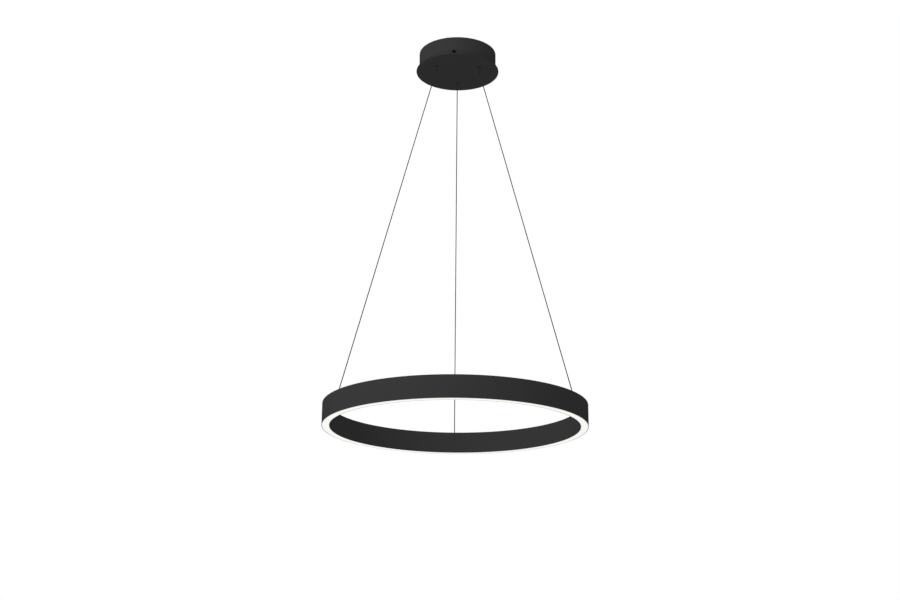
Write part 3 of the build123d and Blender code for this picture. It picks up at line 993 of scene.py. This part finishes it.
class PENDANT_OT_canopy(bpy.types.Operator):
    """Build the canopy's can and its closing plate"""

    bl_idname = "pendant.canopy"
    bl_label = "Canopy"

    def screw_holes(self, radius):
        """A cutter for the three side screws."""
        bm = bmesh.new()
        outline = polygon(HOLE_STEPS, 2 * radius)
        for angle in SCREW_ANGLES:
            wall = outward(CAN_RADIUS, angle, SCREW_LEVEL)
            add_prism(bm, outline, -3 * BOSS_DEPTH, BOSS_DEPTH, wall)
        return bm

    def build_can(self, shape):
        """The cup on the ceiling, with its entry, its fixing slots and its side holes."""
        bore = CAN_RADIUS - CAN_WALL
        roof = CAN_TOP - CAN_WALL
        corners = [
            (ENTRY_HOLE, CAN_TOP, 0),
            (CAN_RADIUS, CAN_TOP, shape.edge_round),
            (CAN_RADIUS, CAN_LOW, shape.lip_round),
            (bore, CAN_LOW, shape.lip_round),
            (bore, roof, shape.edge_round),
            (ENTRY_HOLE, roof, 0),
        ]
        bm = bmesh.new()
        add_lathe(bm, rounded(corners), shape.ring_steps)
        can = make_piece("canopy_cup", bm)
        slots = bmesh.new()
        for side in (-1, 1):
            place = Matrix.Translation((side * SLOT_SPACING / 2, 0, CAN_TOP))
            add_prism(slots, slot_outline(SLOT_LENGTH, SLOT_WIDTH), -2 * CAN_WALL, CAN_WALL, place)
        cut(can, slots)
        cut(can, self.screw_holes(CAN_SCREW_HOLE))
        dress(can, "canopy", "black_coat", "canopy_can")

    def build_plate(self, shape):
        """The closing plate's disc, with a hole for each gripper's nose."""
        corners = [
            (0, PLATE_TOP, 0),
            (0, PLATE_LOW, 0),
            (PLATE_RADIUS, PLATE_LOW, shape.edge_round),
            (PLATE_RADIUS, PLATE_TOP, shape.edge_round),
        ]
        bm = bmesh.new()
        add_lathe(bm, rounded(corners), shape.ring_steps)
        plate = make_piece("canopy_disc", bm)
        holes = bmesh.new()
        height = PLATE_TOP - PLATE_LOW
        for side in SIDES:
            place = ceiling_place(f"release_plunger_{side}")
            place.z = PLATE_LOW
            nose = upright(place, gripper_angle(side))
            add_prism(holes, polygon(6, NOSE_HOLE_FLATS), -height, 2 * height, nose)
        cut(plate, holes)
        dress(plate, "canopy", "black_coat", "canopy_plate")

    def build_bosses(self):
        """The plate's bosses, which the side screws go into."""
        bm = bmesh.new()
        reach = sqrt((CAN_RADIUS - CAN_WALL - SEAT_CLEARANCE) ** 2 - (BOSS_WIDTH / 2) ** 2)
        for angle in SCREW_ANGLES:
            place = upright(on_circle(reach - BOSS_DEPTH / 2, angle, PLATE_TOP), angle)
            add_prism(bm, rectangle(BOSS_DEPTH, BOSS_WIDTH), 0, BOSS_TOP - PLATE_TOP, place)
        bosses = make_piece("canopy_bosses", bm)
        cut(bosses, self.screw_holes(BOSS_SCREW_HOLE))
        dress(bosses, "canopy", "black_coat", "canopy_plate")

    def foot_ends(self):
        """Where the feet of the driver and the terminal block end, and which way they point."""
        driver_low, driver_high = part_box("driver_case")
        block_low, block_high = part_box("terminal_block")
        driver_x = middle("driver_case").x
        block_y = middle("terminal_block").y
        return (
            (Vector((driver_x, driver_high.y, PLATE_TOP)), pi / 2),
            (Vector((driver_x, driver_low.y, PLATE_TOP)), -pi / 2),
            (Vector((block_high.x, block_y, PLATE_TOP)), 0),
            (Vector((block_low.x, block_y, PLATE_TOP)), pi),
        )

    def build_tabs(self):
        """The plate's bent tabs: up past the end of each foot and back over it."""
        top = FOOT_THICKNESS + TAB_WALL
        outline = [
            (TAB_GAP, 0),
            (TAB_GAP + TAB_WALL, 0),
            (TAB_GAP + TAB_WALL, top),
            (-TAB_LIP, top),
            (-TAB_LIP, FOOT_THICKNESS),
            (TAB_GAP, FOOT_THICKNESS),
        ]
        bm = bmesh.new()
        for place, angle in self.foot_ends():
            on_edge = upright(place, angle) @ Matrix.Rotation(pi / 2, 4, "X")
            add_prism(bm, outline, -TAB_LENGTH / 2, TAB_LENGTH / 2, on_edge)
        dress(make_piece("canopy_tabs", bm), "canopy", "black_coat", "canopy_plate")

    def execute(self, context):
        shape = context.scene.pendant_shape
        self.build_can(shape)
        self.build_plate(shape)
        self.build_bosses()
        self.build_tabs()
        return {"FINISHED"}


class PENDANT_OT_screws(bpy.types.Operator):
    """Build the domed screws in the can's wall that hold the plate"""

    bl_idname = "pendant.screws"
    bl_label = "Side screws"

    dome_round = 0.0021
    end_round = 0.0003

    def execute(self, context):
        corners = [
            (0, -SCREW_LENGTH, 0),
            (SCREW_RADIUS, -SCREW_LENGTH, self.end_round),
            (SCREW_RADIUS, 0, 0),
            (SCREW_HEAD_RADIUS, 0, 0),
            (SCREW_HEAD_RADIUS, SCREW_HEAD_HEIGHT, self.dome_round),
            (0, SCREW_HEAD_HEIGHT, 0),
        ]
        socket = polygon(6, SCREW_SOCKET_FLATS)
        socket_low = SCREW_HEAD_HEIGHT - SCREW_SOCKET_DEPTH
        screws = bmesh.new()
        sockets = bmesh.new()
        for angle in SCREW_ANGLES:
            seat = outward(CAN_RADIUS, angle, SCREW_LEVEL)
            add_lathe(screws, rounded(corners), context.scene.pendant_shape.button_steps, seat)
            add_prism(sockets, socket, socket_low, 2 * SCREW_HEAD_HEIGHT, seat)
        piece = make_piece("button_screws", screws)
        cut(piece, sockets)
        dress(piece, "canopy", "black_steel", "side_screws")
        return {"FINISHED"}


class PENDANT_OT_buttons(bpy.types.Operator):
    """Build the grippers' release plungers, with grip rings on the end that shows"""

    bl_idname = "pendant.buttons"
    bl_label = "Release buttons"

    mouth_round = 0.0004
    groove_depth = 0.0003
    groove_width = 0.0006
    groove_heights = (0.0012, 0.0022, 0.0032)
    seat = PLUNGER_TOP - PLUNGER_HEAD_HEIGHT

    def outline(self):
        """The plunger's tube from its mouth to its head, as (radius, height)."""
        corners = [
            (PLUNGER_BORE, self.seat, 0),
            (PLUNGER_BORE, PLUNGER_LOW, self.mouth_round),
            (PLUNGER_RADIUS, PLUNGER_LOW, self.mouth_round),
        ]
        for height in self.groove_heights:
            level = PLUNGER_LOW + height
            corners += [
                (PLUNGER_RADIUS, level - self.groove_width / 2, 0),
                (PLUNGER_RADIUS - self.groove_depth, level, 0),
                (PLUNGER_RADIUS, level + self.groove_width / 2, 0),
            ]
        corners.append((PLUNGER_RADIUS, self.seat, 0))
        return rounded(corners)

    def build_tube(self, side, steps):
        """The round tube that the wire passes through, whose lower end is the button."""
        place = ceiling_place(f"release_plunger_{side}")
        bm = bmesh.new()
        add_lathe(bm, self.outline(), steps, Matrix.Translation(place))
        return make_piece(f"release_button_{side}", bm)

    def build_head(self, side, steps):
        """The square head that lifts the jaws."""
        place = ceiling_place(f"release_plunger_{side}")
        square = rectangle(PLUNGER_HEAD, PLUNGER_HEAD)
        bm = bmesh.new()
        add_prism(bm, square, self.seat, PLUNGER_TOP, upright(place, gripper_angle(side)))
        head = make_piece(f"release_head_{side}", bm)
        bore = bmesh.new()
        add_prism(bore, polygon(steps, 2 * PLUNGER_BORE), PLUNGER_LOW, 0, Matrix.Translation(place))
        cut(head, bore)
        return head

    def execute(self, context):
        steps = context.scene.pendant_shape.button_steps
        for side in SIDES:
            for piece in (self.build_tube(side, steps), self.build_head(side, steps)):
                dress(piece, f"plunger_{side}", "black_nylon", f"release_plunger_{side}")
        return {"FINISHED"}


class PENDANT_OT_springs(bpy.types.Operator):
    """Build the grippers' coil springs at rest; the real ones shorten as a release button is pushed
    in
    """

    bl_idname = "pendant.springs"
    bl_label = "Gripper springs"

    turns = 5.5
    wire_radius = 0.0004
    side_gap = 0.0002
    end_gap = 0.00005
    steps_per_turn = 24
    section_steps = 8
    sharp = radians(60)

    def coil_rings(self, low, high):
        """Rings of points round a coil whose first and last turns lie against each other."""
        radius = PLUNGER_HEAD / 2 - self.side_gap - self.wire_radius
        bottom = low + self.end_gap + self.wire_radius
        top = high - self.end_gap - self.wire_radius
        closed = 2 * self.wire_radius + self.end_gap
        open_pitch = (top - bottom - 2 * closed) / (self.turns - 2)
        rings = []
        for step in range(int(self.turns * self.steps_per_turn) + 1):
            turn = step / self.steps_per_turn
            opened = min(max(turn - 1, 0), self.turns - 2)
            height = bottom + closed * (turn - opened) + open_pitch * opened
            ring = []
            for side in range(self.section_steps):
                a = tau * side / self.section_steps
                reach = radius + self.wire_radius * cos(a)
                ring.append(on_circle(reach, tau * turn, height + self.wire_radius * sin(a)))
            rings.append(ring)
        return rings

    def execute(self, context):
        for side in SIDES:
            low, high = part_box(f"gripper_spring_{side}")
            place = ceiling_place(f"gripper_spring_{side}")
            rings = self.coil_rings(low.z, high.z)
            bm = bmesh.new()
            add_tube(bm, [[place + point for point in ring] for ring in rings])
            coil = make_piece(f"release_coil_{side}", bm, self.sharp)
            dress(coil, "canopy", "spring_steel", f"gripper_spring_{side}")
            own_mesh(coil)
        return {"FINISHED"}


class PENDANT_OT_frame_finish(bpy.types.Operator):
    """Give every node of the frame the finish of its slot, and soft edges to those that show"""

    bl_idname = "pendant.frame_finish"
    bl_label = "Finish the frame's pieces"

    def execute(self, context):
        for subpart in frame["record"]["subparts"]:
            node = frame["nodes"][subpart["node"]]
            node.data.materials.clear()
            node.data.materials.append(finish_of(subpart["material_slot"]))
            if not node.hide_render:
                soften(node, context.scene.pendant_shape.node_round)
        return {"FINISHED"}


# The sidebar, and what registers it all


class PENDANT_PT_panel(bpy.types.Panel):
    """Lists the steps that build the lamp, and what can be changed"""

    bl_label = "Ring pendant light"
    bl_idname = "PENDANT_PT_panel"
    bl_space_type = "VIEW_3D"
    bl_region_type = "UI"
    bl_category = "Pendant"

    def draw(self, context):
        for name in GROUPS:
            group = getattr(context.scene, name)
            box = self.layout.box()
            for setting in group.__annotations__:
                box.prop(group, setting)
        for step in STEPS:
            self.layout.operator(step.bl_idname)


STEPS = (
    PENDANT_OT_stage,
    PENDANT_OT_wires,
    PENDANT_OT_ring,
    PENDANT_OT_diffuser,
    PENDANT_OT_canopy,
    PENDANT_OT_screws,
    PENDANT_OT_buttons,
    PENDANT_OT_springs,
    PENDANT_OT_frame_finish,
)
GROUPS = {
    "pendant_shape": PENDANT_PG_shape,
    "pendant_finish": PENDANT_PG_finish,
    "pendant_stage": PENDANT_PG_stage,
}


def register():
    """Register the settings, the steps and the panel."""
    for kind in (*GROUPS.values(), *STEPS, PENDANT_PT_panel):
        bpy.utils.register_class(kind)
    for name, group in GROUPS.items():
        setattr(bpy.types.Scene, name, PointerProperty(type=group))


def unregister():
    """Take everything out again."""
    for name in GROUPS:
        delattr(bpy.types.Scene, name)
    for kind in (PENDANT_PT_panel, *reversed(STEPS), *GROUPS.values()):
        bpy.utils.unregister_class(kind)


def main():
    """Build the lamp."""
    register()
    bpy.ops.pendant.stage()
    bpy.ops.pendant.wires()
    bpy.ops.pendant.ring()
    bpy.ops.pendant.diffuser()
    bpy.ops.pendant.canopy()
    bpy.ops.pendant.screws()
    bpy.ops.pendant.buttons()
    bpy.ops.pendant.springs()
    bpy.ops.pendant.frame_finish()


if __name__ == "__main__":
    main()
